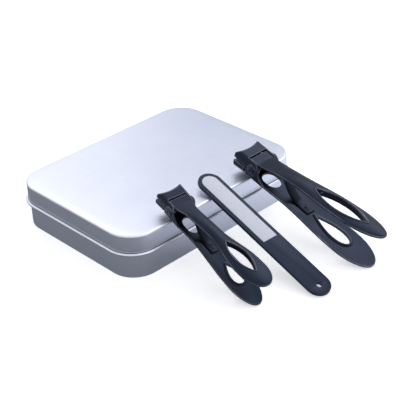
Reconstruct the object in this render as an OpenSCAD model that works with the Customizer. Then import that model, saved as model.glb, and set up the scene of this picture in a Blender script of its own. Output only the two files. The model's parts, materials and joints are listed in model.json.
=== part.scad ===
// Manicure set: a hinged tin with a fitted tray, two plier nail clippers and a nail file
// that lean on the tin's front edge.  Millimetres, +Z up, origin under the middle of the tin.

/* [Tin] */
// Length of the tin over the lid's skirt
tin_w = 115; // [100:1:140]
// Depth of the tin over the lid's skirt
tin_d = 87.5; // [80:0.5:110]
// Height of the closed tin
tin_h = 24; // [23:0.5:32]
// Plan radius of the tin's corners
corner_r = 14.3; // [8:0.1:20]
// Rounding of the lid's top edge and the base's bottom edge
edge_r = 1; // [0.6:0.1:2]
// Thickness of the tin plate
plate_t = 0.35; // [0.25:0.05:0.5]
// Gap between the lid's skirt and the base's wall
lid_gap = 0.35; // [0.3:0.05:0.6]
// Height of the base's wall
base_h = 20; // [18:0.5:21]
// Height of the lid's lower curl, which is also the hinge line
curl_z = 13.8; // [12:0.1:15]
// Radius of the lid's lower curl
curl_r = 0.8; // [0.6:0.05:1]
// Radius of the safe edge rolled inwards on the base's rim
rim_r = 0.6; // [0.5:0.05:0.8]

/* [Tin hinge] */
// Number of hinge hooks on the base
hook_n = 2; // [2:1:3]
// Width of a hinge hook
hook_w = 10; // [6:0.5:14]
// Distance between neighbouring hinge hooks
hook_pitch = 50; // [24:1:54]
// Running gap round the curl inside a hook
hook_gap = 0.1; // [0.08:0.01:0.15]
// Room beside and above a hook in the lid's window
window_gap = 0.8; // [0.5:0.1:1.5]

/* [Tool tray] */
// Height of the tray
tray_h = 12; // [11:0.5:14]
// Gap between the tray and the base's wall
tray_gap = 0.4; // [0.2:0.1:1]
// Room round a tool in its recess
nest_gap = 1.5; // [1:0.1:3]
// Depth of the clippers' recesses
nest_depth = 9; // [7:0.5:10]
// Depth of the file's recess
file_nest_depth = 5; // [4.5:0.5:8]
// Foam left between neighbouring recesses
nest_rib = 4; // [3:0.5:6]
// Diameter of the scoop for the fingertips
scoop_d = 24; // [18:1:30]

/* [Large clipper] */
// Size of the pattern against its drawn length of 86.4 mm
large_scale = 1; // [0.88:0.02:1.08]
// Width over the jaws and cheeks
large_head_w = 15.8; // [13:0.1:18]
// Width at the lower lever's waist
large_waist_w = 14.4; // [13:0.1:17]
// Width of the lower lever at the thumb
large_thumb_w = 18.4; // [15:0.1:21]
// Width of the upper lever's neck
large_neck_w = 9.6; // [8:0.1:10.6]
// Width of the upper lever at the thumb
large_press_w = 14.2; // [13:0.1:18]
// Sheet thickness of the levers
large_t = 1.2; // [1:0.05:1.5]
// Height of the upper lever's tail over the clipper's back, at full size
large_tail_n = 21; // [19:0.1:23]
// Middle of the oval hole behind the head, at full size
large_oval_s = 67.3; // [62:0.1:68]
// Length of the oval hole, at full size
large_oval_l = 10.4; // [9:0.1:13]
// Pointed end of the lower finger hole, at full size
large_lower_tip = 38; // [30:0.1:38]
// Pointed end of the upper finger hole, at full size
large_upper_tip = 43; // [34:0.1:44]
// Place of the tail on the floor, across
large_x = 28.8; // [25:0.1:34]
// Place of the tail on the floor, front to back
large_y = -115; // [-119:0.2:-112]
// Heading away from straight back
large_turn = 0.1; // [0:0.1:3]

/* [Small clipper] */
// Size of the pattern against its drawn length of 86.4 mm
small_scale = 0.8; // [0.72:0.02:0.84]
// Width over the jaws and cheeks
small_head_w = 13.6; // [12.5:0.1:15]
// Width at the lower lever's waist
small_waist_w = 11.2; // [10:0.1:15]
// Width of the lower lever at the thumb
small_thumb_w = 14; // [12:0.1:16]
// Width of the upper lever's neck
small_neck_w = 7.2; // [7:0.1:8.6]
// Width of the upper lever at the thumb
small_press_w = 14.2; // [12:0.1:16]
// Sheet thickness of the levers
small_t = 1; // [0.9:0.05:1.1]
// Height of the upper lever's tail over the clipper's back, at full size
small_tail_n = 19.9; // [19:0.1:23]
// Middle of the oval hole behind the head, at full size
small_oval_s = 63.2; // [62:0.1:68]
// Length of the oval hole, at full size
small_oval_l = 11.8; // [9:0.1:13]
// Pointed end of the lower finger hole, at full size
small_lower_tip = 31.4; // [30:0.1:38]
// Pointed end of the upper finger hole, at full size
small_upper_tip = 37; // [34:0.1:44]
// Place of the tail on the floor, across
small_x = -28.7; // [-36:0.1:-26]
// Place of the tail on the floor, front to back
small_y = -96; // [-100:0.1:-94]
// Heading away from straight back
small_turn = 4; // [0:0.1:5]

/* [Clipper mechanism] */
// Angle that the upper lever turns from open to closed jaws
squeeze_deg = 6.5; // [5.5:0.1:7.5]
// Radius of the pivot rivet's shank, for a clipper of full size
pin_r = 1.6; // [1.4:0.05:1.8]
// Radius of the pivot rivet's domed heads, for a clipper of full size
dome_r = 3; // [2.4:0.05:3.2]
// Height of the pivot rivet's domed heads, for a clipper of full size
dome_h = 1.2; // [0.7:0.05:1.3]
// Radial running gap between the shank and the upper lever's ears
pin_gap = 0.06; // [0.05:0.01:0.08]
// Side gap between the upper lever's ears and the cheeks
ear_gap = 0.3; // [0.25:0.05:0.5]
// Gap left between the closed cutting edges
bite_gap = 0.2; // [0.18:0.01:0.3]
// Depth of the curve in the cutting edges
edge_sag = 1.3; // [0.6:0.1:2]
// Width of the leaf spring
spring_w = 5; // [4:0.1:6]
// Thickness of the leaf spring
spring_t = 0.5; // [0.4:0.05:0.7]
// Radius of the spring rivet's shank
spring_pin_r = 0.8; // [0.6:0.05:1]
// Radius of the spring rivet's head
spring_head_r = 1.4; // [1.2:0.05:1.8]
// Height of the spring rivet's head
spring_head_h = 0.9; // [0.6:0.05:1.2]

/* [Nail file] */
// Length of the file
file_len = 87.3; // [80:0.5:92]
// Width of the file
file_w = 12.6; // [10:0.1:14]
// Thickness of the steel core
file_t = 1.4; // [1:0.1:2]
// Thickness of an abrasive strip
grit_t = 0.2; // [0.15:0.05:0.4]
// Length of an abrasive strip
grit_len = 47; // [35:0.5:60]
// Bare margin round an abrasive strip
grit_margin = 2; // [1:0.1:3]
// Radius of the hanging hole
file_hole_r = 1.3; // [1:0.05:1.8]
// Distance of the hanging hole from the tail
file_hole_s = 5.4; // [4:0.1:8]
// Place of the tail on the floor, across
file_x = -2.5; // [-8:0.1:4]
// Place of the tail on the floor, front to back
file_y = -113.3; // [-117:0.2:-108]
// Heading away from straight back
file_turn = 2.5; // [0:0.1:4]

/* [Hidden] */
$fn = 48;
// a hair of overlap where two shapes of one piece are joined
eps = 0.02;
// gap at which a leaning tool stands off the lid's edge
lean_gap = 0.15;
// a clipper's length from its tail to its cutting edge, at full size
edge_s = 86.4;
tin_black = [0.16, 0.18, 0.26];
tin_pale = [0.86, 0.87, 0.93];

// ---------- plan shapes and plate shells of the tin ----------

module plan(w, d, r) {
    square([w - 2 * r, d], center = true);
    square([w, d - 2 * r], center = true);
    for (x = [-1, 1], y = [-1, 1])
        translate([x * (w / 2 - r), y * (d / 2 - r)]) circle(r);
}

// a round bar of radius rb along the plan outline w x d with corner radius r, at height 0
module plan_bar(w, d, r, rb) {
    for (x = [-1, 1])
        translate([x * w / 2, 0, 0]) rotate([90, 0, 0]) cylinder(r = rb, h = d - 2 * r, center = true);
    for (y = [-1, 1])
        translate([0, y * d / 2, 0]) rotate([0, 90, 0]) cylinder(r = rb, h = w - 2 * r, center = true);
    for (i = [0:3])
        translate([(i == 0 || i == 3 ? 1 : -1) * (w / 2 - r), (i < 2 ? 1 : -1) * (d / 2 - r), 0])
            rotate([0, 0, 90 * i]) rotate_extrude(angle = 90) translate([r, 0]) circle(rb, $fn = 24);
}

// a slab with its bottom edge rounded by re
module pan_block(w, d, h, r, re) {
    linear_extrude(h) plan(w - 2 * re, d - 2 * re, r - re);
    translate([0, 0, re]) linear_extrude(h - re) plan(w, d, r);
    translate([0, 0, re]) plan_bar(w - 2 * re, d - 2 * re, r - re, re);
}

// an open pan of plate thickness t
module pan(w, d, h, r, re, t) {
    difference() {
        pan_block(w, d, h, r, re);
        translate([0, 0, t]) pan_block(w - 2 * t, d - 2 * t, h, r - t, re - t);
    }
}

skin = plate_t + lid_gap;
base_w = tin_w - 2 * skin;
base_d = tin_d - 2 * skin;
base_r = corner_r - skin;
// the curl stands out of the skirt by all but its inner half and the plate
curl_out = curl_r - plate_t;
hinge_y = tin_d / 2 + curl_out;
hook_in_r = curl_r + hook_gap;
hook_x = [for (i = [0:hook_n - 1]) (i - (hook_n - 1) / 2) * hook_pitch];

module tin_base() color(tin_pale) {
    pan(base_w, base_d, base_h, base_r, edge_r, plate_t);
    // safe edge, rolled inwards
    translate([0, 0, base_h - rim_r])
        plan_bar(base_w - 2 * rim_r, base_d - 2 * rim_r, base_r - rim_r, rim_r);
    for (x = hook_x) translate([x, 0, 0]) hinge_hook();
}

// a strap from the base's rear wall over the lid's curl and down its outer side
module hinge_hook() {
    r_out = hook_in_r + plate_t;
    y_wall = base_d / 2 - plate_t / 2;
    translate([-hook_w / 2, hinge_y, curl_z]) rotate([90, 0, 90]) {
        linear_extrude(hook_w) {
            difference() {
                circle(r_out);
                circle(hook_in_r);
                polygon([[0, 0], [-3 * r_out, 0], [-3 * r_out, -3 * r_out], [3 * r_out, -3 * r_out]]);
                translate([-3 * r_out, -3 * r_out]) square([3 * r_out, 6 * r_out]);
            }
            translate([y_wall - hinge_y, hook_in_r]) square([hinge_y - y_wall, plate_t]);
        }
    }
}

module tin_lid() color(tin_pale) {
    skirt_h = tin_h - curl_z;
    difference() {
        translate([0, 0, tin_h]) mirror([0, 0, 1])
            pan(tin_w, tin_d, skirt_h, corner_r, edge_r, plate_t);
        // a window over the curl for each hook
        for (x = hook_x)
            translate([x - hook_w / 2 - window_gap, tin_d / 2 - 2 * plate_t, curl_z - eps])
                cube([hook_w + 2 * window_gap, 3 * plate_t, hook_in_r + plate_t + window_gap]);
    }
    translate([0, 0, curl_z])
        plan_bar(tin_w + 2 * curl_out, tin_d + 2 * curl_out, corner_r + curl_out, curl_r);
}

// ---------- the foam tray ----------

tray_w = base_w - 2 * (plate_t + tray_gap);
tray_d = base_d - 2 * (plate_t + tray_gap);
tray_r = base_r - plate_t - tray_gap;
nests = [
    [large_scale * edge_s, large_thumb_w, nest_depth],
    [file_len, file_w, file_nest_depth],
    [small_scale * edge_s, max(small_thumb_w, small_press_w), nest_depth]];
nest_ws = [for (n = nests) n[1] + 2 * nest_gap];
nests_d = nest_ws[0] + nest_ws[1] + nest_ws[2] + 2 * nest_rib;
nest_ys = [
    nests_d / 2 - nest_ws[0] / 2,
    nests_d / 2 - nest_ws[0] - nest_rib - nest_ws[1] / 2,
    nests_d / 2 - nest_ws[0] - nest_ws[1] - 2 * nest_rib - nest_ws[2] / 2];

module tool_tray() color([0.13, 0.14, 0.16])
    translate([0, 0, plate_t]) difference() {
        linear_extrude(tray_h) plan(tray_w, tray_d, tray_r);
        // the base's rounded bottom edge
        difference() {
            translate([0, 0, -eps]) linear_extrude(edge_r) plan(tin_w, tin_d, corner_r);
            pan_block(tray_w, tray_d, 2 * edge_r, tray_r, edge_r);
        }
        for (i = [0:2])
            translate([0, nest_ys[i], tray_h - nests[i][2]])
                linear_extrude(tray_h) plan(nests[i][0] + 2 * nest_gap, nest_ws[i], nest_ws[i] / 2 - eps);
        // one scoop across the three recesses for the fingertips
        for (i = [0:1])
            translate([0, (nest_ys[i] + nest_ys[i + 1]) / 2, tray_h - nests[1][2]])
                cylinder(d = scoop_d, h = tray_h);
    }

// ---------- how a tool leans on the lid ----------

// tilt at which a tool's back clears the lid's rounded front edge
function lean(y, turn) =
    let (d = (-tin_d / 2 + edge_r - y) / cos(turn), z = tin_h - edge_r)
    atan(z / d) + asin((edge_r + lean_gap) / sqrt(d * d + z * z));

// from a tool's own frame (X across, Y from tail to head, Z up off its back) to its place
module place(x, y, turn)
    translate([x, y, 0]) rotate([0, 0, -turn]) rotate([lean(y, turn), 0, 0]) children();

// ---------- the clippers, drawn at full size and scaled by k along and up ----------

// a clipper's sizes: 0 scale, widths over 1 head, 2 waist, 3 lower thumb end, 4 neck and 5 press, 6 sheet,
// 7 height of the upper tail, 8 middle and 9 length of the oval, tips of 10 the lower and 11 the upper
// finger hole, 12 length of the press's round end, 13 start and 14 length of its taper to the neck
function big() = [large_scale, large_head_w, large_waist_w, large_thumb_w, large_neck_w, large_press_w,
    large_t, large_tail_n, large_oval_s, large_oval_l, large_lower_tip, large_upper_tip, 20, 24, 32];
function lil() = [small_scale, small_head_w, small_waist_w, small_thumb_w, small_neck_w, small_press_w,
    small_t, small_tail_n, small_oval_s, small_oval_l, small_lower_tip, small_upper_tip, 13, 18, 28];

// the pivot's place along and above the lower lever, at full size
pivot_s = 75.3;
pivot_n = 5.5;
// height of the head's roof, and height of the cutting edges, at full size
roof_n = 9.3;
edge_n = 5;
// radius of the nose, where the roof turns down to the cutting edge, at full size
nose_r = 2.6;
// radius of the head's shoulders, at full size
shoulder_r = 2.2;
// length of the lower lever's round end, at full size
thumb_end = 18.5;
// the finger holes: round end and half width, at full size
lower_hole_s = 15.6;
lower_hole_r = 3.9;
upper_hole_s = 10.8;
upper_hole_r = 4.4;
// width of the bead round a finger hole, its rise on the lower lever and its fall under the upper one
hole_rim = 0.9;
bead_rise = 0.4;
flange_fall = 1.5;
// width of the oval hole behind the head, at full size
oval_w = 8.2;
// place of the spring rivet, height of the leaf's foot over the lower lever's middle, at full size
spring_s = 43.5;
foot_n = 0.1;
// where the upper lever folds down in front of the pivot, and the radius of its ears, at full size
fold_s = 78.6;
fold_n = 8.75;
fold_r = 2.3;
ear_r = 3.2;
ear_top = 1.5;
// rise of the lower lever's edges above its middle, and fall of the upper lever's, at full size
gutter = 0.4;
arch = 1.1;

function ease(x) = x <= 0 ? 0 : x >= 1 ? 1 : (1 - cos(180 * x)) / 2;
function mix(a, b, f) = a + (b - a) * f;

// stations of a lever from its tail: a round end of length e, then even steps to s_end
function stations(e, s_end, n_end, n_run) = concat(
    [for (i = [0:n_end - 1]) e * (1 - cos(7 + 83 * i / n_end))],
    [for (i = [0:n_run]) mix(e, s_end, i / n_run)]);
function end_share(s, e) = s >= e ? 1 : sqrt(1 - pow((e - s) / e, 2));

// lower lever: half width, and height of the underside's middle
function lower_hw(s, c) =
    let (f1 = ease((s - 20) / 34), f2 = ease((s - 54) / 14))
    end_share(s, thumb_end) * mix(mix(c[3], c[2], f1), c[1] - 0.8 * c[6], f2) / 2;
// upper lever: half width, and height of the topside's edges at full size
function upper_hw(s, c) =
    end_share(s, c[12]) * mix(mix(c[5], c[4], ease((s - c[13]) / c[14])), strip_w(c), ease((s - 64) / 9)) / 2;
function upper_n(s, c) = mix(c[7], 8.6, s / 74) + 1.9 * sin(180 * s / 74) * s / 74;
// width of the window in the roof, of the upper lever where it runs through it, and over the lever's ears
function window_w(c) = c[1] - 3.2 * c[6];
function strip_w(c) = window_w(c) - 2 * ear_gap;
function ears_w(c) = c[1] - 2 * c[6] - 2 * ear_gap;

// a curved sheet: rows of [s, half width, height of the middle, fall of the edges], thickness t below
module sheet(rows, t, m = 8) {
    k = 2 * (m + 1);
    points = [for (r = rows, j = [0:k - 1])
        let (u = (j % (m + 1)) * 2 / m - 1)
        [u * r[1], r[0], r[2] - r[3] * u * u - (j > m ? t : 0)]];
    last = (len(rows) - 1) * k;
    faces = concat(
        [for (i = [0:len(rows) - 2], j = [0:m - 1]) let (a = i * k + j) [a, a + 1, a + k + 1, a + k]],
        [for (i = [0:len(rows) - 2], j = [0:m - 1]) let (a = i * k + m + 1 + j) [a, a + k, a + k + 1, a + 1]],
        [for (i = [0:len(rows) - 2]) let (a = i * k) [a, a + k, a + k + m + 1, a + m + 1]],
        [for (i = [0:len(rows) - 2]) let (a = i * k + m) [a, a + m + 1, a + k + m + 1, a + k]],
        [[for (j = [0:m]) m - j, for (j = [0:m]) m + 1 + j]],
        [[for (j = [0:m]) last + j, for (j = [0:m]) last + 2 * m + 1 - j]]);
    polyhedron(points = [for (p = points) p], faces = [for (f = faces) [for (i = [len(f) - 1:-1:0]) f[i]]]);
}

// a drop: round at y0, pointed at y1, with half width r
function drop(y0, y1, r, n = 36) =
    [for (i = [0:n - 1]) let (b = 360 * i / n)
        [1.3 * r * sin(b) * abs(sin(b / 2)), mix(y0, y1, (1 + cos(b)) / 2)]];

// a leaf: pointed at both ends
function leaf(y0, y1, r, n = 36) =
    [for (i = [0:n - 1]) let (b = 360 * i / n)
        [r * sin(b) * pow(abs(sin(b)), 0.8), mix(y0, y1, (1 + cos(b)) / 2)]];

// the head's cross-section between heights low and top, with shoulders of radius r and low corners of r_low
module roof_section(w, top, r, low = -5, r_low = 1) {
    translate([-w / 2, low + r_low]) square([w, top - low - r - r_low]);
    translate([-w / 2 + r, low + r_low]) square([w - 2 * r, top - low - r_low]);
    translate([-w / 2 + r_low, low]) square([w - 2 * r_low, top - low - r]);
    for (x = [-1, 1]) {
        translate([x * (w / 2 - r), top - r]) circle(r);
        translate([x * (w / 2 - r_low), low + r_low]) circle(r_low);
    }
}

// the lower jaw's cross-section over a floor at height low
module floor_section(w, low, r) translate([0, 2 * low]) mirror([0, 1]) roof_section(w, low, r);

// something drawn in the plane of [s, n], run across the tool
module across(w) translate([-w / 2, 0, 0]) rotate([90, 0, 90]) linear_extrude(w) children();
// something drawn in the plane of [x, n], run along the tool from s0
module along(s0, l) translate([0, s0 + l, 0]) rotate([90, 0, 0]) linear_extrude(l) children();

// arc points about [cs, cn]
function arc(cs, cn, r, a0, a1, n = 8) =
    [for (i = [0:n]) let (a = mix(a0, a1, i / n)) [cs + r * cos(a), cn + r * sin(a)]];

// radius of the curve in the cutting edge
function edge_r_of(c) = let (half = c[1] / 2, sag = edge_sag * c[0]) (half * half + sag * sag) / (2 * sag);

// a jaw profile [s, n] swept round the curve of the cutting edge
module jaw_sweep(c) {
    axis_s = (edge_s - edge_sag) * c[0] + edge_r_of(c);
    translate([0, axis_s, 0]) rotate([0, 0, 270 - 30]) rotate_extrude(angle = 60, $fn = 180)
        mirror([1, 0]) translate([-axis_s, 0]) children();
}

// the parting line between the closed jaws, and the front of the roof's window, at full size
parting = [[80.2, 4.4], [edge_s, edge_n]];
slot_s = 80;
function part_n(s) = mix(parting[0][1], parting[1][1], (s - parting[0][0]) / (parting[1][0] - parting[0][0]));

// the side outline of the cheeks and roof, at full size
module cheek_outline()
    polygon(concat(
        [[65.5, 0.1], [65.5, 1.2], [67.6, 2.1], [69.4, 3.1], [70.7, 4.2]],
        arc(pivot_s, pivot_n, 3.7, 178, 105),
        [[77, 10], [85, 10], [85, part_n(85)], parting[0], [79.6, 3.6], [78.4, 0.1]]));

// roof's front turned down to the cutting edge, filled, and the hollow behind it
module upper_jaw_fill(k, t)
    polygon(concat([[82 * k, roof_n * k + t]],
        arc((edge_s - nose_r) * k, (roof_n - nose_r) * k, nose_r * k, 82, 0),
        [[edge_s * k, edge_n * k], [82 * k, part_n(82) * k]]));
module upper_jaw_hollow(k, t)
    polygon(concat([[82 * k, roof_n * k + t]],
        arc((edge_s - nose_r) * k, (roof_n - nose_r) * k, nose_r * k - t, 90, 0),
        [[(edge_s - 0.3) * k, (edge_n + 0.1) * k], [(edge_s - 0.3) * k, 0], [82 * k, 0]]));

// the head above the lower lever: roof, cheeks and upper jaw in one bent sheet
module lower_head(c) {
    k = c[0];
    t = c[6];
    difference() {
        intersection() {
            along(55 * k, 35 * k) roof_section(c[1], roof_n * k, shoulder_r * k, eps, t);
            union() {
                across(c[1] + 1) scale(k) cheek_outline();
                jaw_sweep(c) upper_jaw_fill(k, t);
            }
        }
        intersection() {
            along(50 * k, 45 * k) roof_section(c[1] - 2 * t, roof_n * k - t, shoulder_r * k - 0.8 * t);
            union() {
                translate([-10, 50 * k, -5]) cube([20, 34 * k, 20]);
                jaw_sweep(c) upper_jaw_hollow(k, t);
            }
        }
    }
}

module lower_lever(c) {
    k = c[0];
    t = c[6];
    hole_r = pin_r * k + eps;
    difference() {
        union() {
            // the curved handle
            sheet([for (s = stations(thumb_end, 76.5, 8, 12))
                [s * k, lower_hw(s, c), t,
                    -gutter * k * end_share(s, thumb_end) * mix(1, 0.3, ease((s - 50) / 18))]], t);
            lower_head(c);
            // bead round the finger hole
            translate([0, 0, t / 2]) linear_extrude(t / 2 + bead_rise * k)
                polygon(drop((lower_hole_s - hole_rim) * k, (c[10] + 1.5 * hole_rim) * k, (lower_hole_r + hole_rim) * k));
        }
        translate([0, 0, -1]) linear_extrude(10) polygon(drop(lower_hole_s * k, c[10] * k, lower_hole_r * k));
        // window over the upper lever's neck
        translate([-window_w(c) / 2, 50 * k, 2 * t]) cube([window_w(c), (slot_s - 50) * k, 20]);
        // oval hole
        translate([0, c[8] * k, -1]) oval(oval_w * k, c[9] * k, 10);
        // bores
        translate([-20, pivot_s * k, pivot_n * k]) rotate([0, 90, 0]) cylinder(r = hole_r, h = 40);
        translate([0, spring_s * k, -1]) cylinder(r = spring_pin_r * k + eps, h = 10);
    }
}

// an oval as two round ends and a straight waist
module oval(w, l, h) {
    for (y = [-1, 1]) translate([0, y * (l - w) / 2, 0]) cylinder(d = w, h = h);
    translate([-w / 2, -(l - w) / 2, 0]) cube([w, l - w, h]);
}

// depth of the lower jaw's floor with the jaws closed, at full size
floor_n = 0.3;

// side outline of the lower jaw, drawn with the jaws closed, at full size
module lower_side_outline()
    polygon([[80.5, part_n(80.5) - bite_gap], [80.5, -1], [85, -1], [85, part_n(85) - bite_gap]]);

// the lower jaw's front, filled, and the hollow behind it
module lower_jaw_fill(k, t) {
    r = nose_r * k;
    polygon(concat([[82 * k, floor_n * k - t]], arc(edge_s * k - r, floor_n * k + r, r, -82, 0),
        [[edge_s * k, edge_n * k - bite_gap], [82 * k, part_n(82) * k - bite_gap]]));
}
module lower_jaw_hollow(k, t) {
    r = nose_r * k;
    polygon(concat([[82 * k, floor_n * k - t]], arc(edge_s * k - r, floor_n * k + r, r - t, -90, 0),
        [[(edge_s - 0.3) * k, (edge_n - 0.3) * k - bite_gap], [(edge_s - 0.3) * k, 12 * k], [82 * k, 12 * k]]));
}

module upper_lever(c) {
    k = c[0];
    t = c[6];
    slope = atan((upper_n(upper_hole_s, c) - upper_n(c[11], c)) / (c[11] - upper_hole_s));
    difference() {
        union() {
            // the curved handle
            sheet([for (s = stations(c[12], 76, 8, 13))
                let (fall = arch * k * end_share(s, c[12]) * mix(1, 0.25, ease((s - 50) / 22)))
                [s * k, upper_hw(s, c), upper_n(s, c) * k + fall, fall]], t);
            // through the roof's window and down in front of the pivot
            across(strip_w(c)) polygon(concat(
                [[73 * k, fold_n * k]], arc((fold_s - fold_r) * k, (fold_n - fold_r) * k, fold_r * k, 90, 0),
                [[fold_s * k, floor_n * k], [fold_s * k - t, floor_n * k]],
                arc((fold_s - fold_r) * k, (fold_n - fold_r) * k, fold_r * k - t, 0, 90),
                [[73 * k, fold_n * k - t]]));
            // ears on the pivot, stepped out from the neck to the cheeks
            for (x = [-1, 1]) {
                translate([x * (ears_w(c) - t) / 2, 0, 0]) across(t) intersection() {
                    translate([pivot_s * k, pivot_n * k]) circle(ear_r * k);
                    translate([(pivot_s - ear_r) * k, 0]) square([2 * ear_r * k, (pivot_n + ear_top) * k]);
                }
                translate([x * (strip_w(c) - t) / 2, 0, 0]) across(t)
                    translate([(pivot_s - ear_r + 0.3) * k, pivot_n * k])
                        square([(fold_s - pivot_s + ear_r - 0.3) * k - t / 2, (fold_n - pivot_n) * k - t / 2]);
            }
            // the lower jaw, opened about the pivot
            translate([0, pivot_s * k, pivot_n * k]) rotate([-squeeze_deg, 0, 0])
                translate([0, -pivot_s * k, -pivot_n * k]) lower_jaw(c);
            // flange of the finger hole, turned in under the lever
            along_lever(c, slope, -flange_fall * k - t) linear_extrude(flange_fall * k + t * 1.6)
                polygon(leaf((upper_hole_s - hole_rim) * k, (c[11] + hole_rim) * k, (upper_hole_r + hole_rim) * k));
        }
        along_lever(c, slope, -10) linear_extrude(20)
            polygon(leaf(upper_hole_s * k, c[11] * k, upper_hole_r * k));
        translate([-20, pivot_s * k, pivot_n * k]) rotate([0, 90, 0]) cylinder(r = pin_r * k + pin_gap, h = 40);
    }
}

// from a plan [x, s] to the upper lever's slope between the ends of its finger hole
module along_lever(c, slope, z)
    translate([0, upper_hole_s * c[0], upper_n(upper_hole_s, c) * c[0]]) rotate([-slope, 0, 0])
        translate([0, -upper_hole_s * c[0], z]) children();

// the lower jaw, drawn with the jaws closed
module lower_jaw(c) {
    k = c[0];
    t = c[6];
    difference() {
        intersection() {
            along(70 * k, 30 * k) floor_section(c[1], floor_n * k, shoulder_r * k);
            union() {
                across(c[1] + 1) scale(k) lower_side_outline();
                jaw_sweep(c) lower_jaw_fill(k, t);
            }
        }
        intersection() {
            along(60 * k, 45 * k) floor_section(c[1] - 2 * t, floor_n * k + t, shoulder_r * k - 0.8 * t);
            union() {
                translate([-10, 50 * k, -5]) cube([20, 34 * k, 20]);
                jaw_sweep(c) lower_jaw_hollow(k, t);
            }
        }
    }
    // floor back to the fold in front of the pivot
    translate([-strip_w(c) / 2, (fold_s - 1.2) * k, floor_n * k + eps])
        cube([strip_w(c), (83 - fold_s) * k, t - 2 * eps]);
}

// a domed head on the plane z = 0
module dome(r, h) {
    ball = (r * r + h * h) / (2 * h);
    rotate_extrude() polygon(concat([[0, 0]],
        [for (i = [0:8]) let (a = asin(r / ball) * (1 - i / 8)) [ball * sin(a), h - ball + ball * cos(a)]]));
}

module pivot_rivet(c) {
    k = c[0];
    translate([0, pivot_s * k, pivot_n * k]) rotate([0, 90, 0]) {
        cylinder(r = pin_r * k, h = c[1], center = true);
        for (m = [0, 1]) mirror([0, 0, m]) translate([0, 0, c[1] / 2]) dome(dome_r * k, dome_h * k);
    }
}

// the leaf: flat at its rivet, then sweeping up to the upper lever and turned back at its tip
module leaf_spring(c) {
    k = c[0];
    foot = c[6] + foot_n * k;
    rise_s = spring_s + 4;
    tip_s = 61;
    tip_n = (upper_n(tip_s, c) + arch * 0.55) * k - c[6] - spring_t - 0.35;
    line = concat([[(spring_s - 3) * k, foot]],
        [for (i = [0:12]) let (f = i / 12) [mix(rise_s, tip_s, f) * k, foot + (tip_n - foot) * (1 - cos(90 * f)) ]],
        [for (i = [1:4]) [(tip_s + 0.8 * sin(22 * i)) * k, tip_n + (0.12 - 0.25 * i * i / 4) * k]]);
    difference() {
        across(spring_w * k) polygon(concat(line,
            [for (i = [len(line) - 1:-1:0]) line[i] + spring_t * across_dir(line, i)]));
        translate([0, spring_s * k, -1]) cylinder(r = spring_pin_r * k + eps, h = 10);
    }
}

// unit vector square to a line of points at its point i, to the left of its run
function across_dir(line, i) =
    let (d = line[min(i + 1, len(line) - 1)] - line[max(i - 1, 0)]) [-d[1], d[0]] / norm(d);

module spring_rivet(c) {
    k = c[0];
    top = c[6] + foot_n * k + spring_t;
    translate([0, spring_s * k, 0]) {
        cylinder(r = spring_pin_r * k, h = top);
        translate([0, 0, top]) dome(spring_head_r * k, spring_head_h * k);
    }
}

// ---------- the nail file ----------

module file_outline(l, w) {
    for (y = [w / 2, l - w / 2]) translate([0, y]) circle(w / 2);
    translate([-w / 2, w / 2]) square([w, l - w]);
}

module file_blade()
    translate([0, 0, grit_t]) linear_extrude(file_t) difference() {
        file_outline(file_len, file_w);
        translate([0, file_hole_s]) circle(file_hole_r);
    }

// a strip with its round end at the file's tip and its square end amidships
module file_strip()
    linear_extrude(grit_t) intersection() {
        translate([0, grit_margin]) file_outline(file_len - 2 * grit_margin, file_w - 2 * grit_margin);
        translate([-file_w, file_len - grit_margin - grit_len]) square([2 * file_w, grit_len]);
    }

module put_large() place(large_x, large_y, large_turn) color(tin_black) children();
module put_small() place(small_x, small_y, small_turn) color(tin_black) children();
module put_file() place(file_x, file_y, file_turn) children();

module large_lower_lever() put_large() lower_lever(big());
module large_upper_lever() put_large() upper_lever(big());
module large_pivot_rivet() put_large() pivot_rivet(big());
module large_leaf_spring() put_large() leaf_spring(big());
module large_spring_rivet() put_large() spring_rivet(big());
module small_lower_lever() put_small() lower_lever(lil());
module small_upper_lever() put_small() upper_lever(lil());
module small_pivot_rivet() put_small() pivot_rivet(lil());
module small_leaf_spring() put_small() leaf_spring(lil());
module small_spring_rivet() put_small() spring_rivet(lil());
module file_steel() put_file() color(tin_black) file_blade();
module file_front_strip() put_file() color([0.75, 0.75, 0.8]) translate([0, 0, grit_t + file_t]) file_strip();
module file_back_strip() put_file() color([0.75, 0.75, 0.8]) file_strip();

tin_base();
tin_lid();
tool_tray();
large_lower_lever();
large_upper_lever();
large_pivot_rivet();
large_leaf_spring();
large_spring_rivet();
small_lower_lever();
small_upper_lever();
small_pivot_rivet();
small_leaf_spring();
small_spring_rivet();
file_steel();  // file_blade
file_front_strip();
file_back_strip();
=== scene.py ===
import json
import math

import bmesh
import bpy
from mathutils import Matrix, Vector


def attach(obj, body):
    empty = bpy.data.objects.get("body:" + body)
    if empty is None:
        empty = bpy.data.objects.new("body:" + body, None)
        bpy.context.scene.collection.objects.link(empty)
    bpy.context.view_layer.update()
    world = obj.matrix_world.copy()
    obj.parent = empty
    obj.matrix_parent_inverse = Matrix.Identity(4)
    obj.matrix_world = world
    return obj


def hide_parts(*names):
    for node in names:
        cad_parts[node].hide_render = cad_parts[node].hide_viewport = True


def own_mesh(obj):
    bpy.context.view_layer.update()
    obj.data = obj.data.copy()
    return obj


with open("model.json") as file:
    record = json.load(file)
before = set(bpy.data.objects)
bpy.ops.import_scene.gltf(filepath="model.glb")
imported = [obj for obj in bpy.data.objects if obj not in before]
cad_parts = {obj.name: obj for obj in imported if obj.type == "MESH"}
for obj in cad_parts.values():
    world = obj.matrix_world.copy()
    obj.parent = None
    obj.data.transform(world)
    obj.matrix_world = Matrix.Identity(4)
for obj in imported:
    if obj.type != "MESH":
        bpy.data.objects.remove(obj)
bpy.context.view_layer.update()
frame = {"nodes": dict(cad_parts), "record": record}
mm = 0.001


# camera at the photograph's viewing angle

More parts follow.
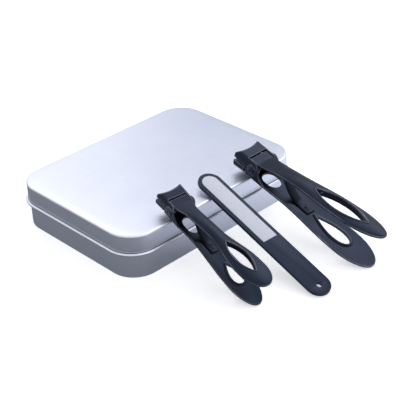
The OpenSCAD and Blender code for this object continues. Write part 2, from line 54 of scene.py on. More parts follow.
cameraSettings = {
    "azimuth": -43.02,  # degrees, 0 looks along +Y
    "elevation": 31.12,
    "roll": -2.76,
    "distance": 562.6 * mm,
    "aside": 20.27 * mm,  # the view's middle, right of the tin's middle
    "above": 2.83 * mm,
    "lens": 97.67,  # this and the sensor's width as a camera gives them, in millimetres
    "sensor": 36,
    "nearest": 10 * mm,  # what is nearer isn't drawn
}


def addCamera(s):
    az, el, roll = (math.radians(s[key]) for key in ("azimuth", "elevation", "roll"))
    back = Vector((math.sin(az) * math.cos(el), -math.cos(az) * math.cos(el), math.sin(el)))
    levelRight = Vector((math.cos(az), math.sin(az), 0))
    levelUp = back.cross(levelRight)
    right = levelRight * math.cos(roll) + levelUp * math.sin(roll)
    up = levelUp * math.cos(roll) - levelRight * math.sin(roll)
    data = bpy.data.cameras.new("camera")
    data.lens = s["lens"]
    data.sensor_width = s["sensor"]
    data.clip_start = s["nearest"]
    camera = bpy.data.objects.new("camera", data)
    bpy.context.scene.collection.objects.link(camera)
    turn = Matrix((right, up, back)).transposed().to_4x4()
    place = back * s["distance"] + right * s["aside"] + up * s["above"]
    camera.matrix_world = Matrix.Translation(place) @ turn
    bpy.context.scene.camera = camera
    print("camera set")


# small helpers

def finished(shape, name, smooth=True):
    mesh = bpy.data.meshes.new(name)
    shape.to_mesh(mesh)
    shape.free()
    if smooth:
        mesh.shade_smooth()
    piece = bpy.data.objects.new(name, mesh)
    bpy.context.scene.collection.objects.link(piece)
    return piece


def applyModifiers(piece):
    bpy.context.view_layer.update()
    evaluated = piece.evaluated_get(bpy.context.evaluated_depsgraph_get())
    mesh = bpy.data.meshes.new_from_object(evaluated)
    piece.modifiers.clear()
    piece.data = mesh


def softShading(piece, angle):
    # faces that meet at less than the angle, in degrees, shade as one
    piece.data.shade_smooth()
    piece.data.set_sharp_from_angle(angle=math.radians(angle))


def settle(piece, body, material, node):
    piece.data.materials.clear()
    piece.data.materials.append(material)
    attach(piece, body)
    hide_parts(node)


def onlyKind(made, kind):
    return [item for item in made if isinstance(item, kind)]


def arcPoints(centreA, centreB, radius, start, end, steps):
    # start and end in degrees
    points = []
    for i in range(steps + 1):
        angle = math.radians(start + (end - start) * i / steps)
        points.append((centreA + radius * math.cos(angle), centreB + radius * math.sin(angle)))
    return points


# shader nodes

groupOutputs = {"Color": "NodeSocketColor", "Roughness": "NodeSocketFloat", "Normal": "NodeSocketVector"}
plainGrey = (0.5, 0.5, 0.5, 1)  # a group's colours until a material gives its own
noiseSpread = (0.3, 0.7)  # nearly all of a noise's values lie between these
bumpReach = 0.02 * mm  # height of the scratches and the grain at a depth of 1


def newMaterial(name):
    material = bpy.data.materials.new(name)
    material.use_nodes = True
    tree = material.node_tree
    return material, tree, tree.nodes["Principled BSDF"]


def newGroup(name, inputs):
    # an input whose first value is a tuple is a colour, and otherwise a number
    group = bpy.data.node_groups.new(name, "ShaderNodeTree")
    for socketName, value in inputs.items():
        kind = "NodeSocketColor" if isinstance(value, tuple) else "NodeSocketFloat"
        socket = group.interface.new_socket(socketName, in_out="INPUT", socket_type=kind)
        socket.default_value = value
    for socketName, kind in groupOutputs.items():
        group.interface.new_socket(socketName, in_out="OUTPUT", socket_type=kind)
    return group, group.nodes.new("NodeGroupInput"), group.nodes.new("NodeGroupOutput")


def addNode(tree, kind, links=(), **values):
    node = tree.nodes.new(kind)
    for key, value in values.items():
        setattr(node, key, value)
    for source, socket in links:
        tree.links.new(source, node.inputs[socket])
    return node


def addMath(tree, operation, *sources):
    links = [(source, i) for i, source in enumerate(sources)]
    return addNode(tree, "ShaderNodeMath", links, operation=operation).outputs[0]


def stretchedNoise(tree, scale, detail):
    # a noise on the object's coordinates, with scale cells to the metre on each axis
    coords = addNode(tree, "ShaderNodeTexCoord").outputs["Object"]
    place = addNode(tree, "ShaderNodeVectorMath", [(coords, 0)], operation="MULTIPLY")
    place.inputs[1].default_value = scale
    noise = addNode(tree, "ShaderNodeTexNoise", [(place.outputs[0], "Vector")])
    noise.inputs["Scale"].default_value = 1
    noise.inputs["Detail"].default_value = detail
    return noise.outputs["Fac"]


def remap(tree, value, low, high, newLow, newHigh):
    node = addNode(tree, "ShaderNodeMapRange", [(value, "Value")])
    for name, number in (("From Min", low), ("From Max", high), ("To Min", newLow), ("To Max", newHigh)):
        node.inputs[name].default_value = number
    return node.outputs["Result"]


def mixColours(tree, factor, first, second):
    # first and second are colours or sockets; a Mix node takes colours at its inputs 6 and 7
    mix = addNode(tree, "ShaderNodeMix", [(factor, "Factor")], data_type="RGBA")
    for socket, colour in ((mix.inputs[6], first), (mix.inputs[7], second)):
        if isinstance(colour, tuple):
            socket.default_value = colour
        else:
            tree.links.new(colour, socket)
    return mix.outputs[2]


def pointiness(tree):
    return addNode(tree, "ShaderNodeNewGeometry").outputs["Pointiness"]


def putOut(group, given, result, colour, roughness, height):
    # the given roughness is varied, and the height becomes a bump of the given depth
    rough = addMath(group, "MULTIPLY", given.outputs["Rough"], roughness)
    bump = addNode(group, "ShaderNodeBump", [(height, "Height"), (given.outputs["Depth"], "Strength")])
    bump.inputs["Distance"].default_value = bumpReach
    for name, source in (("Color", colour), ("Roughness", rough), ("Normal", bump.outputs[0])):
        group.links.new(source, result.inputs[name])


brushedSettings = {
    "scratches": (160, 5200, 5200),  # cells to the metre, long along X
    "clouds": (18, 30, 30),
    "cloudScale": (0.95, 1.05),
    "cloudShift": (-0.1, 0.1),
    "crease": (0.44, 0.49),  # pointiness where the painted crease shade is darkest, and where it ends
    # painted shade: the share of the colour that is left where a crease is darkest
    "creaseShadeTone": 0.14,
    "roughness": (0.85, 1.15),
}
wearAndHighlightSettings = {
    "grain": (2600, 2600, 2600),
    "clouds": (90, 90, 90),
    "edge": (0.505, 0.545),  # pointiness where the edge wear and painted highlight start, and where they are full
    "patches": (0.35, 0.6),
    "leastWearAndHighlight": 0.3,  # of the wear and painted highlight, between the patches
    "roughness": (0.88, 1.14),
}


def makeBrushedGroup(s):
    # long fine scratches and a slow cloudiness, as on rolled tin plate, and painted shade in the creases
    group, given, result = newGroup(
        "brushed", {"Base": plainGrey, "Shade": plainGrey, "Rough": 0.4, "Depth": 0.1})
    scratches = stretchedNoise(group, s["scratches"], detail=3)
    clouds = stretchedNoise(group, s["clouds"], detail=2)
    scale = remap(group, clouds, *noiseSpread, *s["cloudScale"])
    shift = remap(group, clouds, *noiseSpread, *s["cloudShift"])
    tone = remap(group, addMath(group, "MULTIPLY_ADD", scratches, scale, shift), *noiseSpread, 0, 1)
    colour = mixColours(group, tone, given.outputs["Shade"], given.outputs["Base"])
    # painted shade: creases are darkened by their pointiness, as shade falls in them
    paintedCreaseShade = remap(group, pointiness(group), *s["crease"], s["creaseShadeTone"], 1)
    creaseShaded = addNode(group, "ShaderNodeVectorMath", [(colour, 0), (paintedCreaseShade, "Scale")], operation="SCALE")
    roughness = remap(group, scratches, *noiseSpread, *s["roughness"])
    putOut(group, given, result, creaseShaded.outputs[0], roughness, scratches)
    return group


def makeWearAndHighlightGroup(s):
    # plating with a fine tumbled grain, brighter on edges: partly worn plating, partly a painted highlight
    group, given, result = newGroup(
        "wearAndHighlightPlating", {"Base": plainGrey, "EdgeWearAndHighlight": plainGrey, "WearAndHighlight": 0.5, "Rough": 0.35, "Depth": 0.1})
    grain = stretchedNoise(group, s["grain"], detail=2)
    clouds = stretchedNoise(group, s["clouds"], detail=3)
    # painted highlight with the wear: edges are brightened by their pointiness
    edge = remap(group, pointiness(group), *s["edge"], 0, 1)
    patches = remap(group, clouds, *s["patches"], s["leastWearAndHighlight"], 1)
    edgeWearAndHighlight = addMath(group, "MULTIPLY", addMath(group, "MULTIPLY", edge, given.outputs["WearAndHighlight"]), patches)
    colour = mixColours(group, edgeWearAndHighlight, given.outputs["Base"], given.outputs["EdgeWearAndHighlight"])
    roughness = remap(group, clouds, *noiseSpread, *s["roughness"])
    putOut(group, given, result, colour, roughness, grain)
    return group


brushedGroup = makeBrushedGroup(brushedSettings)
wearAndHighlightGroup = makeWearAndHighlightGroup(wearAndHighlightSettings)

coatRoughness = 0.3


def metalMaterial(name, group, metallic, coat, s):
    material, tree, shader = newMaterial(name)
    shader.inputs["Metallic"].default_value = metallic
    shader.inputs["Coat Weight"].default_value = coat
    shader.inputs["Coat Roughness"].default_value = coatRoughness
    node = addNode(tree, "ShaderNodeGroup", node_tree=group)
    for key, value in s.items():
        node.inputs[key].default_value = value
    for output, socket in (("Color", "Base Color"), ("Roughness", "Roughness"), ("Normal", "Normal")):
        tree.links.new(node.outputs[output], shader.inputs[socket])
    return material


tinPlate = metalMaterial("tinPlate", brushedGroup, metallic=1, coat=0, s={
    "Base": (0.74, 0.77, 0.86, 1), "Shade": (0.67, 0.70, 0.79, 1), "Rough": 0.38, "Depth": 0.25})
# in these platings the Edge colour and the Wear brighten edges by their pointiness: partly worn plating,
# partly a painted highlight
blackPlating = metalMaterial("blackPlating", wearAndHighlightGroup, metallic=0.85, coat=0.03, s={
    "Base": (0.009, 0.014, 0.029, 1), "EdgeWearAndHighlight": (0.24, 0.26, 0.33, 1),
    "WearAndHighlight": 0.8, "Rough": 0.34, "Depth": 0.2})
filePlating = metalMaterial("filePlating", wearAndHighlightGroup, metallic=0.85, coat=0.03, s={
    "Base": (0.009, 0.014, 0.029, 1), "EdgeWearAndHighlight": (0.1, 0.11, 0.15, 1),
    "WearAndHighlight": 0.06, "Rough": 0.36, "Depth": 0.2})
rivetPlating = metalMaterial("rivetPlating", wearAndHighlightGroup, metallic=0.9, coat=0.05, s={
    "Base": (0.012, 0.016, 0.034, 1), "EdgeWearAndHighlight": (0.16, 0.17, 0.22, 1),
    "WearAndHighlight": 0.5, "Rough": 0.28, "Depth": 0.1})
# painted shade: the leaf's steel is darker than the levers' plating, for the shade between the levers
shadedSpringSteel = metalMaterial("shadedSpringSteel", wearAndHighlightGroup, metallic=0.9, coat=0.02, s={
    "Base": (0.004, 0.007, 0.018, 1), "EdgeWearAndHighlight": (0.05, 0.055, 0.08, 1),
    "WearAndHighlight": 0.4, "Rough": 0.42, "Depth": 0.1})

gritSettings = {  # bonded grit: pale grains with darker pits between, fully matt
    "cells": 3800, "mottle": 2600, "spread": (0.35, 0.65),
    "dark": (0.77, 0.81, 0.98, 1), "light": (0.94, 0.97, 1, 1),
    "roughness": (0.75, 0.95), "strength": 0.5, "depth": 0.06 * mm,
}
foamSettings = {  # dense black foam with fine open cells
    "cells": 1500, "mottle": 300, "spread": (0.3, 0.7),
    "dark": (0.014, 0.015, 0.018, 1), "light": (0.032, 0.033, 0.038, 1),
    "roughness": (0.85, 0.98), "strength": 0.8, "depth": 0.15 * mm,
}


def grainedMaterial(name, s):
    material, tree, shader = newMaterial(name)
    coords = addNode(tree, "ShaderNodeTexCoord").outputs["Object"]
    cells = addNode(tree, "ShaderNodeTexVoronoi", [(coords, "Vector")])
    cells.inputs["Scale"].default_value = s["cells"]
    mottle = stretchedNoise(tree, (s["mottle"],) * 3, detail=3)
    tone = mixColours(tree, remap(tree, mottle, *s["spread"], 0, 1), s["dark"], s["light"])
    roughness = remap(tree, mottle, *noiseSpread, *s["roughness"])
    bump = addNode(tree, "ShaderNodeBump", [(cells.outputs["Distance"], "Height")])
    bump.inputs["Strength"].default_value = s["strength"]
    bump.inputs["Distance"].default_value = s["depth"]
    for source, socket in ((tone, "Base Color"), (roughness, "Roughness"), (bump.outputs[0], "Normal")):
        tree.links.new(source, shader.inputs[socket])
    return material


abrasive = grainedMaterial("abrasive", gritSettings)
trayFoam = grainedMaterial("trayFoam", foamSettings)
print("materials made")


# studio

lightSettings = {
    "softboxes": [  # place, width and height in metres, watts
        ((0.75, 0.15, 0.85), 0.7, 0.6, 3.2),
        ((0.2, 0.85, 0.95), 0.7, 0.5, 1.6),
        ((0.1, -0.8, 0.8), 0.7, 0.5, 1.2),
    ],
    "skyLow": (0.55, 0.56, 0.6, 1),
    "skyHigh": (0.85, 0.87, 0.93, 1),
    "skyTurn": 0.8,  # where the sky reaches its high colour
    "skyStrength": 0.55,
    "floorReach": 3,
    "floorColour": (0.95, 0.95, 0.96, 1),
    "floorGlow": 0.55,
    "cardColour": (0.88, 0.93, 1.06, 1),
    "cards": [  # middle, size, tilt in degrees, the shading's direction, its ends in metres, its two tones
        ((-0.1, -0.05, 0.0004), (0.62, 0.56), 0, (0.731, -0.682, 0), (0.012, 0.095), (0.21, 1.06)),
        ((0.72, 0.42, 0.42), (0.8, 0.8), 90, (1, 0, 0), (0.3, 0.6), (0.85, 0.5)),
    ],
}


def addSoftbox(place, width, height, watts):
    # aimed at the origin
    data = bpy.data.lights.new("softbox", "AREA")
    data.shape = "RECTANGLE"
    data.size = width
    data.size_y = height
    data.energy = watts
    lamp = bpy.data.objects.new("softbox", data)
    bpy.context.scene.collection.objects.link(lamp)
    lamp.location = place
    lamp.rotation_euler = (-Vector(place)).to_track_quat("-Z", "Y").to_euler()


def seenDirectly(tree):
    # 1 for rays that show the backdrop: from the camera, by reflection or through glass
    rays = addNode(tree, "ShaderNodeLightPath").outputs
    first = addMath(tree, "MAXIMUM", rays["Is Camera Ray"], rays["Is Glossy Ray"])
    return addMath(tree, "MAXIMUM", first, rays["Is Transmission Ray"])


def addWorld(s):
    world = bpy.data.worlds.new("studio")
    bpy.context.scene.world = world
    world.use_nodes = True
    tree = world.node_tree
    tree.nodes.clear()
    coords = addNode(tree, "ShaderNodeTexCoord")
    split = addNode(tree, "ShaderNodeSeparateXYZ", [(coords.outputs["Generated"], 0)])
    ramp = addNode(tree, "ShaderNodeValToRGB", [(split.outputs["Z"], "Fac")])
    low, high = ramp.color_ramp.elements
    low.color = s["skyLow"]
    high.color = s["skyHigh"]
    high.position = s["skyTurn"]
    sky = addNode(tree, "ShaderNodeBackground", [(ramp.outputs["Color"], "Color")])
    sky.inputs["Strength"].default_value = s["skyStrength"]
    backdrop = addNode(tree, "ShaderNodeBackground")
    backdrop.inputs["Color"].default_value = (1, 1, 1, 1)
    shown = [(seenDirectly(tree), 0), (sky.outputs[0], 1), (backdrop.outputs[0], 2)]
    pick = addNode(tree, "ShaderNodeMixShader", shown)
    addNode(tree, "ShaderNodeOutputWorld", [(pick.outputs[0], "Surface")])


def addFloor(s):
    shape = bmesh.new()
    bmesh.ops.create_grid(shape, x_segments=1, y_segments=1, size=s["floorReach"])
    floor = finished(shape, "floor")
    material, tree, shader = newMaterial("floorPaper")
    shader.inputs["Base Color"].default_value = s["floorColour"]
    shader.inputs["Roughness"].default_value = 0.9
    shader.inputs["Specular IOR Level"].default_value = 0.1
    shader.inputs["Emission Color"].default_value = (1, 1, 1, 1)
    glow = addNode(tree, "ShaderNodeMath", [(seenDirectly(tree), 0)], operation="MULTIPLY")
    glow.inputs[1].default_value = s["floorGlow"]
    tree.links.new(glow.outputs[0], shader.inputs["Emission Strength"])
    floor.data.materials.append(material)


def addCard(colour, middle, size, tilt, direction, ends, tones):
    # a card that shades from one tone to another and shows only in the metal, as a photographer's flag does
    shape = bmesh.new()
    bmesh.ops.create_grid(shape, x_segments=1, y_segments=1, size=0.5)
    bmesh.ops.scale(shape, vec=(*size, 1), verts=shape.verts)
    turn = Matrix.Rotation(math.radians(tilt), 4, "X")
    bmesh.ops.transform(shape, matrix=Matrix.Translation(middle) @ turn, verts=shape.verts)
    card = finished(shape, "card")
    material, tree, shader = newMaterial("cardPaper")
    place = addNode(tree, "ShaderNodeTexCoord").outputs["Object"]
    along = addNode(tree, "ShaderNodeVectorMath", [(place, 0)], operation="DOT_PRODUCT")
    along.inputs[1].default_value = direction
    tree.links.new(remap(tree, along.outputs["Value"], *ends, *tones), shader.inputs["Emission Strength"])
    shader.inputs["Emission Color"].default_value = colour
    shader.inputs["Base Color"].default_value = (0, 0, 0, 1)
    shader.inputs["Roughness"].default_value = 1
    card.data.materials.append(material)
    for ray in ("camera", "diffuse", "shadow", "transmission"):
        setattr(card, "visible_" + ray, False)


addCamera(cameraSettings)
addWorld(lightSettings)
for box in lightSettings["softboxes"]:
    addSoftbox(*box)
addFloor(lightSettings)
for card in lightSettings["cards"]:
    addCard(lightSettings["cardColour"], *card)
print("stage set")


# the tin, drawn as sections swept round its plan

tinSettings = {
    "width": 115 * mm, "depth": 87.5 * mm, "height": 24 * mm,
    "corner": 14.3 * mm, "edge": 1 * mm,  # radii in plan, and round the top and the bottom
    "plate": 0.35 * mm, "gap": 0.35 * mm,  # the sheet, and the room between lid and base
    "baseHeight": 20 * mm, "rim": 0.6 * mm,  # the rim is rolled inwards, with this radius
    "bottomRing": 12 * mm,  # the ring that closes the base's flat bottom, in from its wall
    "curlHeight": 13.8 * mm, "curl": 0.8 * mm,  # the lid's lower edge is curled outwards: centre and radius
    "creaseRise": 0.3 * mm,  # the last ring of the lid's wall, above the curl
    "crown": 0.08 * mm,  # rise of the lid's middle
    "crownRings": ((13 * mm, 1), (9 * mm, 0.8), (5 * mm, 0.4)),  # in from the wall, share of the crown
    "hookPitch": 50 * mm, "hookWidth": 10 * mm, "hookGap": 0.1 * mm,
    "windowGap": 0.8 * mm,  # room beside and above a hook
    "windowFoot": 0.34 * mm,  # the window's lower edge, above the curl's centre
    "windowPast": 0.02 * mm,  # the cut's reach past the wall
    "cornerSteps": 20, "edgeSteps": 7, "insideSteps": 5, "curlSteps": 18, "rimSteps": 16, "hookSteps": 8,
    "softBelow": 40,  # degrees between faces that shade as one
}


def planRing(shape, width, depth, corner, steps):
    # a rounded rectangle from four turned corners; each vertex is paired with its way out
    ring = []
    for quarter in range(4):
        signX = 1 if quarter in (0, 3) else -1
        signY = 1 if quarter < 2 else -1
        centre = Vector((signX * (width / 2 - corner), signY * (depth / 2 - corner), 0))
        for i in range(steps + 1):
            angle = math.radians(90 * quarter + 90 * i / steps)
            out = Vector((math.cos(angle), math.sin(angle), 0))
            ring.append((shape.verts.new(centre + out * corner), out))
    for i in range(len(ring)):
        shape.edges.new((ring[i - 1][0], ring[i][0]))
    return ring


def sweepSection(shape, width, depth, corner, steps, section):
    # the section's points are [outwards from the plan, height]
    ring = planRing(shape, width, depth, corner, steps)
    start = [vert.co.copy() for vert, out in ring]
    rows = [[vert for vert, out in ring]]
    for outwards, height in section[1:]:
        edges = [shape.edges.get((rows[-1][i - 1], rows[-1][i])) for i in range(len(ring))]
        made = bmesh.ops.extrude_edge_only(shape, edges=edges)["geom"]
        fresh = set(onlyKind(made, bmesh.types.BMVert))
        row = []
        for i, vert in enumerate(rows[-1]):
            neighbours = [edge.other_vert(vert) for edge in vert.link_edges]
            other = next(neighbour for neighbour in neighbours if neighbour in fresh)
            other.co = start[i] + ring[i][1] * outwards + Vector((0, 0, height))
            row.append(other)
        rows.append(row)
    for i, vert in enumerate(rows[0]):
        vert.co = start[i] + ring[i][1] * section[0][0] + Vector((0, 0, section[0][1]))
    for row in (rows[0], rows[-1]):
        shape.faces.new(row)
    bmesh.ops.recalc_face_normals(shape, faces=shape.faces[:])


def cutBoxes(piece, boxes):
    # square windows, each given by its lowest and highest corner
    for low, high in boxes:
        shape = bmesh.new()
        bmesh.ops.create_cube(shape, size=1)
        bmesh.ops.scale(shape, vec=Vector(high) - Vector(low), verts=shape.verts)
        bmesh.ops.translate(shape, vec=(Vector(low) + Vector(high)) / 2, verts=shape.verts)
        cutter = finished(shape, "cutter", smooth=False)
        cut = piece.modifiers.new("window", "BOOLEAN")
        cut.operation = "DIFFERENCE"
        cut.object = cutter
        applyModifiers(piece)
        bpy.data.objects.remove(cutter)


def hookPlaces(s):
    return (-s["hookPitch"] / 2, s["hookPitch"] / 2)


def makeLid(s):
    t, top, edge, curl, curlHeight = s["plate"], s["height"], s["edge"], s["curl"], s["curlHeight"]
    curlOut = curl - t
    crease = math.degrees(math.acos(-curlOut / curl))
    section = [(-inwards, top + s["crown"] * share) for inwards, share in s["crownRings"]]
    section += arcPoints(-edge, top - edge, edge, 90, 0, s["edgeSteps"])
    section += [(0, curlHeight + curl + s["creaseRise"])]
    section += arcPoints(curlOut, curlHeight, curl, crease, -180, s["curlSteps"])
    section += arcPoints(-edge, top - edge, edge - t, 0, 90, s["insideSteps"])
    section += [(-s["crownRings"][0][0], top - t + s["crown"])]
    shape = bmesh.new()
    sweepSection(shape, s["width"], s["depth"], s["corner"], s["cornerSteps"], section)
    lid = finished(shape, "tinLid")
    reach = s["hookWidth"] / 2 + s["windowGap"]
    inner, outer = s["depth"] / 2 - 2 * t, s["depth"] / 2 + s["windowPast"]
    foot = curlHeight + s["windowFoot"]
    rise = curlHeight + curl + s["hookGap"] + t + s["windowGap"]
    cutBoxes(lid, [((x - reach, inner, foot), (x + reach, outer, rise)) for x in hookPlaces(s)])
    softShading(lid, s["softBelow"])
    settle(lid, "lid", tinPlate, "tin_lid")


def addHook(shape, x, s):
    # a strap from the rear wall over the lid's curl and down its outer side
    t = s["plate"]
    hingeY = s["depth"] / 2 + s["curl"] - t
    wallY = s["depth"] / 2 - t - s["gap"] - t / 2
    radius = s["curl"] + s["hookGap"]
    half = s["hookWidth"] / 2
    line = [(wallY, s["curlHeight"] + radius)]
    line += arcPoints(hingeY, s["curlHeight"], radius, 90, 0, s["hookSteps"])
    verts = [shape.verts.new((x + side * half, line[0][0], line[0][1])) for side in (-1, 1)]
    edge = shape.edges.new(verts)
    faces = []
    for (y0, z0), (y1, z1) in zip(line, line[1:]):
        made = bmesh.ops.extrude_edge_only(shape, edges=[edge])["geom"]
        fresh = onlyKind(made, bmesh.types.BMVert)
        bmesh.ops.translate(shape, vec=(0, y1 - y0, z1 - z0), verts=fresh)
        edge = next(e for e in onlyKind(made, bmesh.types.BMEdge) if all(v in fresh for v in e.verts))
        faces += onlyKind(made, bmesh.types.BMFace)
    bmesh.ops.solidify(shape, geom=faces, thickness=t)
    bmesh.ops.recalc_face_normals(shape, faces=shape.faces[:])


def makeBase(s):
    t, edge, rim, wall = s["plate"], s["edge"], s["rim"], s["baseHeight"]
    inset = t + s["gap"]
    width, depth, corner = s["width"] - 2 * inset, s["depth"] - 2 * inset, s["corner"] - inset
    meet = math.degrees(math.acos((rim - t) / rim))
    section = [(-s["bottomRing"], 0)]
    section += arcPoints(-edge, edge, edge, -90, 0, s["edgeSteps"])
    section += arcPoints(-rim, wall - rim, rim, 0, 360 - meet, s["rimSteps"])
    section += arcPoints(-edge, edge, edge - t, 0, -90, s["insideSteps"])
    section += [(-s["bottomRing"], t)]
    shape = bmesh.new()
    sweepSection(shape, width, depth, corner, s["cornerSteps"], section)
    for x in hookPlaces(s):
        hook = bmesh.new()
        addHook(hook, x, s)
        mesh = bpy.data.meshes.new("hook")
        hook.to_mesh(mesh)
        hook.free()
        shape.from_mesh(mesh)
    base = finished(shape, "tinBase")
    softShading(base, s["softBelow"])
    settle(base, "case", tinPlate, "tin_base")


makeLid(tinSettings)
makeBase(tinSettings)
print("tin made")


# pieces that start from their solids

mergeWithin = 0.002 * mm
flatWithin = 0.5  # degrees between faces that are joined into one
bevelledSoft = 35  # degrees between faces of a bevelled piece that shade as one
turnedSoft = 50  # and of a turned one


def copyOf(nodeName):
    # a merged copy of a CAD solid's mesh
    shape = bmesh.new()
    shape.from_mesh(frame["nodes"][nodeName].data)
    bmesh.ops.remove_doubles(shape, verts=shape.verts, dist=mergeWithin)
    return shape


def addTube(shape, points, radius):
    # a closed round bead along the points, joined to the sheet when the grid is laid over both
    curve = bpy.data.curves.new("bead", "CURVE")
    curve.dimensions = "3D"
    curve.bevel_depth = radius
    curve.bevel_resolution = 3
    spline = curve.splines.new("POLY")
    spline.points.add(len(points) - 1)
    for point, place in zip(spline.points, points):
        point.co = (*place, 1)
    spline.use_cyclic_u = True
    holder = bpy.data.objects.new("bead", curve)
    bpy.context.scene.collection.objects.link(holder)
    bpy.context.view_layer.update()
    evaluated = holder.evaluated_get(bpy.context.evaluated_depsgraph_get())
    shape.from_mesh(bpy.data.meshes.new_from_object(evaluated))
    bpy.data.objects.remove(holder)


def addBlock(shape, low, high, place):
    made = bmesh.ops.create_cube(shape, size=1)["verts"]
    bmesh.ops.scale(shape, vec=Vector(high) - Vector(low), verts=made)
    bmesh.ops.translate(shape, vec=(Vector(low) + Vector(high)) / 2, verts=made)
    bmesh.ops.transform(shape, matrix=place, verts=made)


def forged(nodeName, pieceName, s, addDetail):
    # bent sheet whose cut edges are tumbled round
    shape = copyOf(nodeName)
    addDetail(shape, s)
    piece = finished(shape, pieceName)
    grid = piece.modifiers.new("grid", "REMESH")
    grid.mode = "VOXEL"
    grid.voxel_size = s["grid"]
    grid.use_smooth_shade = True
    ease = piece.modifiers.new("ease", "SMOOTH")
    ease.factor = 0.5
    ease.iterations = s["easing"]
    applyModifiers(piece)
    piece.data.shade_smooth()
    return piece


def bevelled(nodeName, pieceName, width, segments, sharpOver=30):
    # flat faces are joined first, so that only edges sharper than sharpOver degrees are rounded
    shape = copyOf(nodeName)
    bmesh.ops.dissolve_limit(
        shape, angle_limit=math.radians(flatWithin), verts=shape.verts, edges=shape.edges)
    piece = finished(shape, pieceName)
    bevel = piece.modifiers.new("edges", "BEVEL")
    bevel.width = width
    bevel.segments = segments
    bevel.limit_method = "ANGLE"
    bevel.angle_limit = math.radians(sharpOver)
    applyModifiers(piece)
    softShading(piece, bevelledSoft)
    return piece


# tail is the place of a clipper's tail on the floor, and turn is in degrees, clockwise from above;
# tailHeight, the upper lever's height at its tail, and the tips, the finger holes' ends towards
# the head, are in mm at full size, as leverForm's are
clipperSettings = {
    "large": {
        "scale": 1, "tail": (28.8 * mm, -115 * mm), "turn": 0.1,
        "headWidth": 15.8 * mm, "sheet": 1.2 * mm,
        "tailHeight": 21, "lowerTip": 38, "upperTip": 43,
        "grid": 0.2 * mm, "easing": 7,
        "domeRadius": 3 * mm, "domeHeight": 1.2 * mm, "shank": 1.6 * mm,
        "leafEdge": 0.1 * mm, "pinEdge": 0.05 * mm,
    },
    "small": {
        "scale": 0.8, "tail": (-28.7 * mm, -96 * mm), "turn": 4,
        "headWidth": 13.6 * mm, "sheet": 1 * mm,
        "tailHeight": 19.9, "lowerTip": 31.4, "upperTip": 37,
        "grid": 0.16 * mm, "easing": 7,
        "domeRadius": 2.4 * mm, "domeHeight": 0.96 * mm, "shank": 1.28 * mm,
        "leafEdge": 0.08 * mm, "pinEdge": 0.05 * mm,
    },
}
# what both clippers share, in mm at full size, along and above the clipper's back
leverForm = {
    "upperHole": 10.8, "upperHalf": 4.4,  # a finger hole's end near the tail, and its half width
    "lowerHole": 15.6, "lowerHalf": 3.9,
    "upperPoint": 0.8,  # how pointed the upper hole's ends are, 0 for round ones
    "lowerFullness": 1.3,  # widens the lower hole, which is pointed at one end only
    "bead": 0.6,  # radius of the bead round a finger hole
    "beadOut": 0.15, "beadAside": 0.3,  # from the hole's edge to the bead's middle
    "beadLift": 0.15,  # of the bead's middle above the lower lever's face
    "beadInSheet": 0.55,  # the bead's middle above the upper lever's inner face, as a share of the sheet
    "neckFront": 79.3, "neckBack": 76.8, "neckTop": 8.78, "neckLow": 7.2,
    "neckSheets": 1.6, "neckRoom": 0.35,  # from the head's side to the neck's, in sheets and in mm
    "backEnd": 74, "backHeight": 8.6, "backSwell": 1.9,  # the upper lever's line behind the neck
    "leanGap": 0.15,  # between a clipper and the tin's edge
    "leafFoot": 43.5,
    "leafKeep": 0.78,  # share of the leaf's height that a full squeeze leaves
}
# a rivet head from its middle outwards: shares of its radius and of its height
rivetFace = [
    (0, 0.72), (0.16, 0.72), (0.24, 0.92), (0.36, 1), (0.5, 0.98), (0.57, 0.8),
    (0.64, 0.78), (0.7, 0.82), (0.8, 0.66), (0.9, 0.42), (0.97, 0.18), (1, 0),
]


def toolPlace(s):
    # from a clipper's own frame, X across, Y towards its jaws, to where it leans on the tin
    t = tinSettings
    turn = math.radians(s["turn"])
    reach = (t["edge"] - t["depth"] / 2 - s["tail"][1]) / math.cos(turn)
    rise = t["height"] - t["edge"]
    clearance = math.asin((t["edge"] + leverForm["leanGap"] * mm) / math.hypot(reach, rise))
    lean = math.atan(rise / reach) + clearance
    turned = Matrix.Rotation(-turn, 4, "Z") @ Matrix.Rotation(lean, 4, "X")
    return Matrix.Translation((*s["tail"], 0)) @ turned


def upperHeight(along, s):
    # the upper lever's height at a place along the clipper: a straight fall with a swell towards the neck
    f = leverForm
    share = along / f["backEnd"]
    fall = (f["backHeight"] - s["tailHeight"]) * share
    return s["tailHeight"] + fall + f["backSwell"] * math.sin(math.pi * share) * share


def upperShare(angle):
    # pointed at both ends
    return math.sin(angle) * abs(math.sin(angle)) ** leverForm["upperPoint"]


def lowerShare(angle):
    # pointed towards the head only
    return leverForm["lowerFullness"] * math.sin(angle) * abs(math.sin(angle / 2))


def addHoleBead(shape, s, hole, half, tip, widthShare, height):
    # widthShare takes an angle round the hole and gives a share of the half width;
    # height takes a place along the clipper and gives the bead's height there
    f, k, place = leverForm, s["scale"] * mm, toolPlace(s)
    start, end, steps = hole - f["beadOut"], tip + 2 * f["beadOut"], 40
    points = []
    for i in range(steps):
        angle = math.tau * i / steps
        across = (half + f["beadOut"]) * widthShare(angle) + f["beadAside"]
        along = start + (end - start) * (1 + math.cos(angle)) / 2
        points.append(place @ Vector((across * k, along * k, height(along))))
    addTube(shape, points, f["bead"] * k)


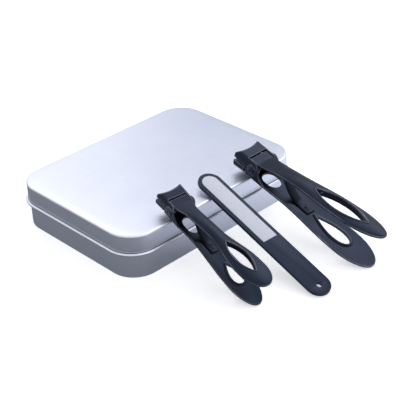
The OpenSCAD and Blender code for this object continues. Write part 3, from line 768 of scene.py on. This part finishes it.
def upperDetail(shape, s):
    # the square shoulder of the folded neck, and the bead round the finger hole
    f, k = leverForm, s["scale"] * mm
    half = s["headWidth"] / 2 - f["neckSheets"] * s["sheet"] - f["neckRoom"] * mm
    low = (-half, f["neckBack"] * k, f["neckLow"] * k)
    high = (half, f["neckFront"] * k, f["neckTop"] * k)
    addBlock(shape, low, high, toolPlace(s))
    hole, tip = f["upperHole"], s["upperTip"]
    tipHeight, holeHeight = upperHeight(tip, s), upperHeight(hole, s)

    def height(along):
        share = (along - hole) / (tip - hole)
        return (holeHeight + (tipHeight - holeHeight) * share) * k + f["beadInSheet"] * s["sheet"]

    addHoleBead(shape, s, hole, f["upperHalf"], tip, upperShare, height)


def lowerDetail(shape, s):
    f = leverForm

    def height(along):
        return s["sheet"] + f["beadLift"] * s["scale"] * mm

    addHoleBead(shape, s, f["lowerHole"], f["lowerHalf"], s["lowerTip"], lowerShare, height)


def jointNamed(name):
    return next(joint for joint in frame["record"]["behaviour"]["joints"] if joint["name"] == name)


def spunPiece(name, outline, place, steps=48):
    # an outline of [radius, height] spun about Z, then put in its place
    shape = bmesh.new()
    verts = [shape.verts.new((radius, 0, height)) for radius, height in outline]
    edges = [shape.edges.new(pair) for pair in zip(verts, verts[1:])]
    bmesh.ops.spin(
        shape, geom=verts + edges, cent=(0, 0, 0), axis=(0, 0, 1),
        angle=math.tau, steps=steps, use_merge=True)
    bmesh.ops.remove_doubles(shape, verts=shape.verts, dist=mergeWithin)
    bmesh.ops.recalc_face_normals(shape, faces=shape.faces[:])
    bmesh.ops.transform(shape, matrix=place, verts=shape.verts)
    piece = finished(shape, name)
    softShading(piece, turnedSoft)
    return piece


def makePivotRivet(size, s):
    # a head, the shank and the other head, along the axis that the levers turn on
    joint = jointNamed(size + "_squeeze")
    axis = Vector(joint["axis"]).normalized()
    place = Matrix.Translation(Vector(joint["pos_m"])) @ axis.to_track_quat("Z", "Y").to_matrix().to_4x4()
    half = s["headWidth"] / 2
    head = [(r * s["domeRadius"], half + h * s["domeHeight"]) for r, h in rivetFace]
    outline = head + [(s["shank"], half), (s["shank"], -half)] + [(r, -h) for r, h in reversed(head)]
    rivet = spunPiece(size + "PivotRivet", outline, place)
    settle(rivet, size + "_clipper", rivetPlating, size + "_pivot_rivet")


def makeLeaf(size, s):
    # the leaf spring, which on the real clipper flattens onto the lower lever as it is squeezed; here it
    # keeps its solid's shape, on a mesh of its own
    leaf = bevelled(
        size + "_leaf_spring", size + "LeafSpring", s["leafEdge"], segments=2, sharpOver=50)
    settle(leaf, size + "_clipper", shadedSpringSteel, size + "_leaf_spring")
    place = toolPlace(s)
    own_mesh(leaf)


def makeClipper(size, s):
    for part, body, detail in (("lower", "_clipper", lowerDetail), ("upper", "_press", upperDetail)):
        node = size + "_" + part + "_lever"
        lever = forged(node, size + part.capitalize() + "Lever", s, detail)
        settle(lever, size + body, blackPlating, node)
    makePivotRivet(size, s)
    makeLeaf(size, s)
    pin = bevelled(
        size + "_spring_rivet", size + "SpringRivet", s["pinEdge"], segments=2, sharpOver=50)
    settle(pin, size + "_clipper", rivetPlating, size + "_spring_rivet")
    print(size, "clipper made")


for size, settings in clipperSettings.items():
    makeClipper(size, settings)


# the nail file and the tray

fileSettings = {"bladeEdge": 0.35 * mm, "stripEdge": 0.06 * mm}
traySettings = {"edge": 0.5 * mm}


def makeFile(s):
    blade = bevelled("file_blade", "fileBlade", s["bladeEdge"], segments=4)
    settle(blade, "nail_file", filePlating, "file_blade")
    for side in ("front", "back"):
        node = "file_" + side + "_strip"
        strip = bevelled(node, side + "Strip", s["stripEdge"], segments=2)
        settle(strip, "nail_file", abrasive, node)
    print("file made")


def makeTray(s):
    tray = bevelled("tool_tray", "foamTray", s["edge"], segments=3, sharpOver=50)
    settle(tray, "case", trayFoam, "tool_tray")
    print("tray made")


makeFile(fileSettings)
makeTray(traySettings)

bpy.context.scene.view_settings.view_transform = "Standard"
